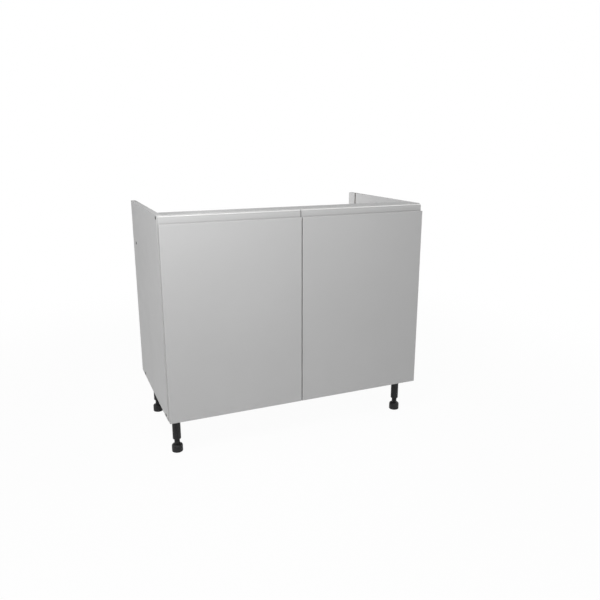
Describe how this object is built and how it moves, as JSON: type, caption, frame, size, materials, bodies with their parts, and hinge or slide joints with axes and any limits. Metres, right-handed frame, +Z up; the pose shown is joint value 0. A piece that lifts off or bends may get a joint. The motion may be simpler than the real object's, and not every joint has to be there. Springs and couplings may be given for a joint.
{
  "type": "kitchen sink base unit",
  "caption": "Kitchen sink base unit: flat-pack carcass with an open top, grip-edge doors on concealed hinges, a low rear rail for the plumbing and adjustable legs.",
  "frame": {"origin": "on the floor, under the middle of the unit's overall box with its doors shut", "axes": "+X to the right seen from the front, +Y towards the wall behind, +Z up"},
  "size_m": [1, 0.569, 0.87],
  "materials": {
    "carcass_board": "light grey melamine, matt",
    "door_front": "light grey foil, satin",
    "leg_plastic": "charcoal",
    "hinge_steel": "nickel plated",
    "plated_steel": "bright zinc",
    "dark_steel": "blackened",
    "dowel_wood": "bare beech",
    "buffer_rubber": "clear soft"
  },
  "bodies": {
    "carcass": {"left_side_panel": "carcass_board", "right_side_panel": "carcass_board", "base_panel": "carcass_board", "front_top_rail": "carcass_board", "rear_rail": "carcass_board", "back_panel": "carcass_board", "carcass_screws": "dark_steel", "back_screws": "plated_steel", "leg_socket_screws": "plated_steel", "dowels": "dowel_wood", "front_left_leg_socket": "leg_plastic", "front_left_leg_tube": "leg_plastic", "front_right_leg_socket": "leg_plastic", "front_right_leg_tube": "leg_plastic", "rear_left_leg_socket": "leg_plastic", "rear_left_leg_tube": "leg_plastic", "rear_right_leg_socket": "leg_plastic", "rear_right_leg_tube": "leg_plastic", "left_lower_hinge_arm": "hinge_steel", "left_lower_hinge_plate": "hinge_steel", "left_upper_hinge_arm": "hinge_steel", "left_upper_hinge_plate": "hinge_steel", "left_arm_pins": "plated_steel", "left_plate_screws": "plated_steel", "left_arm_screws": "plated_steel", "right_lower_hinge_arm": "hinge_steel", "right_lower_hinge_plate": "hinge_steel", "right_upper_hinge_arm": "hinge_steel", "right_upper_hinge_plate": "hinge_steel", "right_arm_pins": "plated_steel", "right_plate_screws": "plated_steel", "right_arm_screws": "plated_steel"},
    "left_inner_links": {"left_lower_inner_link": "hinge_steel", "left_upper_inner_link": "hinge_steel"},
    "left_outer_links": {"left_lower_outer_link": "hinge_steel", "left_upper_outer_link": "hinge_steel", "left_link_pins": "plated_steel"},
    "left_door": {"left_door": "door_front", "left_lower_hinge_cup": "hinge_steel", "left_upper_hinge_cup": "hinge_steel", "left_cup_screws": "plated_steel", "left_cup_pins": "plated_steel", "left_door_buffers": "buffer_rubber"},
    "right_inner_links": {"right_lower_inner_link": "hinge_steel", "right_upper_inner_link": "hinge_steel"},
    "right_outer_links": {"right_lower_outer_link": "hinge_steel", "right_upper_outer_link": "hinge_steel", "right_link_pins": "plated_steel"},
    "right_door": {"right_door": "door_front", "right_lower_hinge_cup": "hinge_steel", "right_upper_hinge_cup": "hinge_steel", "right_cup_screws": "plated_steel", "right_cup_pins": "plated_steel", "right_door_buffers": "buffer_rubber"},
    "front_left_foot": {"front_left_leg_foot": "leg_plastic"},
    "front_right_foot": {"front_right_leg_foot": "leg_plastic"},
    "rear_left_foot": {"rear_left_leg_foot": "leg_plastic"},
    "rear_right_foot": {"rear_right_leg_foot": "leg_plastic"}
  },
  "joints": [
    {"name": "left_door_swing", "type": "hinge", "parent": "left_inner_links", "child": "left_door", "pos_m": [-0.48482, -0.26801, 0.5085], "axis": [0, 0, -1], "range_deg": [0, 138.13]},
    {"name": "left_inner_link_turn", "type": "hinge", "parent": "carcass", "child": "left_inner_links", "pos_m": [-0.46482, -0.26179, 0.5085], "axis": [0, 0, 1], "range_deg": [0, 43.2]},
    {"name": "left_outer_link_turn", "type": "hinge", "parent": "carcass", "child": "left_outer_links", "pos_m": [-0.458, -0.23399, 0.5085], "axis": [0, 0, 1], "range_deg": [0, 29.2]},
    {"name": "right_door_swing", "type": "hinge", "parent": "right_inner_links", "child": "right_door", "pos_m": [0.48482, -0.26801, 0.5085], "axis": [0, 0, 1], "range_deg": [0, 138.13]},
    {"name": "right_inner_link_turn", "type": "hinge", "parent": "carcass", "child": "right_inner_links", "pos_m": [0.46482, -0.26179, 0.5085], "axis": [0, 0, -1], "range_deg": [0, 43.2]},
    {"name": "right_outer_link_turn", "type": "hinge", "parent": "carcass", "child": "right_outer_links", "pos_m": [0.458, -0.23399, 0.5085], "axis": [0, 0, -1], "range_deg": [0, 29.2]},
    {"name": "front_left_foot_height", "type": "slide", "parent": "carcass", "child": "front_left_foot", "axis": [0, 0, -1], "range_m": [-0.015, 0.025]},
    {"name": "front_right_foot_height", "type": "slide", "parent": "carcass", "child": "front_right_foot", "axis": [0, 0, -1], "range_m": [-0.015, 0.025]},
    {"name": "rear_left_foot_height", "type": "slide", "parent": "carcass", "child": "rear_left_foot", "axis": [0, 0, -1], "range_m": [-0.015, 0.025]},
    {"name": "rear_right_foot_height", "type": "slide", "parent": "carcass", "child": "rear_right_foot", "axis": [0, 0, -1], "range_m": [-0.015, 0.025]}
  ],
  "couplings": [
    {"joint": "left_inner_link_turn", "follows": "left_door_swing", "ratio": 0.31224},
    {"joint": "left_outer_link_turn", "follows": "left_door_swing", "ratio": 0.21114},
    {"joint": "right_inner_link_turn", "follows": "right_door_swing", "ratio": 0.31224},
    {"joint": "right_outer_link_turn", "follows": "right_door_swing", "ratio": 0.21114}
  ]
}
